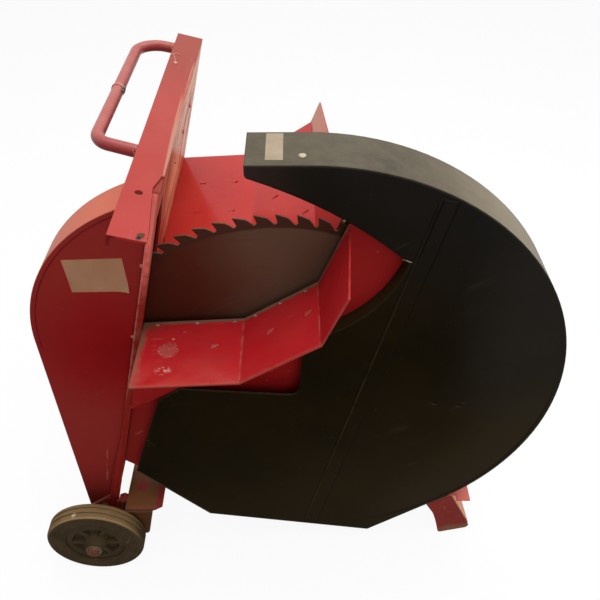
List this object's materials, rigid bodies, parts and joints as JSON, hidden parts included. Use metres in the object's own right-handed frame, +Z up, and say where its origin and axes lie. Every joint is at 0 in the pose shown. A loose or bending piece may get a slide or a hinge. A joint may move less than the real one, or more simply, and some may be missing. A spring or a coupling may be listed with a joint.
{
  "type": "firewood saw",
  "caption": "Rocking firewood saw: circular blade driven by a motor on a wheeled frame, tilting red sheet-steel cradle with a bent handle, black blade guard",
  "frame": {"origin": "on the floor, under the middle of the part's box", "axes": "+X from the wheels to the legs, across the blade's face; +Y along the blade's axis, from the guard towards the motor; +Z up"},
  "size_m": [1.035, 0.75, 0.994],
  "materials": {
    "red_paint": "worn red machine paint, scratched to bare metal where logs slide",
    "black_paint": "dull black paint with a dusty brown sheen",
    "blade_steel": "dark brown rolled steel with turned scratches",
    "bare_steel": "turned steel",
    "core_iron": "varnished core",
    "bush_bronze": "oiled bronze",
    "motor_grey": "grey enamel",
    "tyre_rubber": "dusty brown-black rubber",
    "stop_rubber": "matte rubber",
    "dark_plastic": "dusty dark plastic",
    "start_green": "glossy green",
    "stop_red": "glossy red"
  },
  "bodies": {
    "frame": {"left_beam": "red_paint", "right_beam": "red_paint", "front_cross_beam": "red_paint", "rear_cross_beam": "red_paint", "near_leg": "red_paint", "far_leg": "red_paint", "near_axle_bracket": "red_paint", "far_axle_bracket": "red_paint", "axle": "bare_steel", "pivot_spacers": "bare_steel", "axle_washers": "bare_steel", "axle_caps": "red_paint", "close_stop": "red_paint", "open_stop_pin": "bare_steel", "open_stop_sleeve": "stop_rubber", "motor_pedestal": "red_paint", "motor_bolts": "bare_steel", "motor_housing": "motor_grey", "stator_core": "core_iron", "drive_end_shield": "motor_grey", "fan_end_shield": "motor_grey", "drive_bearing": "bare_steel", "fan_bearing": "bare_steel", "fan_cover": "motor_grey", "terminal_box": "motor_grey", "terminal_lid": "motor_grey", "cable_gland": "dark_plastic", "switch_box": "dark_plastic"},
    "rocker": {"rocker_wall": "red_paint", "top_plate": "red_paint", "handle": "red_paint", "near_arm": "red_paint", "far_arm": "red_paint", "pivot_tube": "red_paint", "pivot_bushes": "bush_bronze", "near_cradle": "red_paint", "far_cradle": "red_paint", "cradle_ribs": "red_paint", "near_gusset": "red_paint", "near_plate": "red_paint", "far_plate": "red_paint", "side_housing": "red_paint", "blade_guard": "black_paint", "guard_joint_strip": "black_paint", "guard_spacers": "black_paint"},
    "spindle": {"motor_shaft": "bare_steel", "rotor_core": "core_iron", "cooling_fan": "dark_plastic", "inner_flange": "bare_steel", "outer_flange": "bare_steel", "blade_nut": "bare_steel", "saw_blade": "blade_steel"},
    "near_wheel": {"near_tyre": "tyre_rubber", "near_hub": "dark_plastic"},
    "far_wheel": {"far_tyre": "tyre_rubber", "far_hub": "dark_plastic"},
    "start_knob": {"start_button": "start_green"},
    "stop_knob": {"stop_button": "stop_red"}
  },
  "joints": [
    {"name": "rocker_tilt", "type": "hinge", "parent": "frame", "child": "rocker", "pos_m": [-0.4135, -0.0475, 0.104], "axis": [0, -1, 0], "range_deg": [0, 20]},
    {"name": "spindle_spin", "type": "hinge", "parent": "frame", "child": "spindle", "pos_m": [-0.0035, -0.022, 0.512], "axis": [0, -1, 0], "continuous": true},
    {"name": "near_wheel_spin", "type": "hinge", "parent": "frame", "child": "near_wheel", "pos_m": [-0.4135, -0.312, 0.104], "axis": [0, -1, 0], "continuous": true},
    {"name": "far_wheel_spin", "type": "hinge", "parent": "frame", "child": "far_wheel", "pos_m": [-0.4135, 0.208, 0.104], "axis": [0, -1, 0], "continuous": true},
    {"name": "start_press", "type": "slide", "parent": "frame", "child": "start_knob", "axis": [0, -1, 0], "range_m": [0, 0.004], "stiffness_N_per_m": 400, "springref_m": -0.001},
    {"name": "stop_press", "type": "slide", "parent": "frame", "child": "stop_knob", "axis": [0, -1, 0], "range_m": [0, 0.004], "stiffness_N_per_m": 400, "springref_m": -0.001}
  ]
}
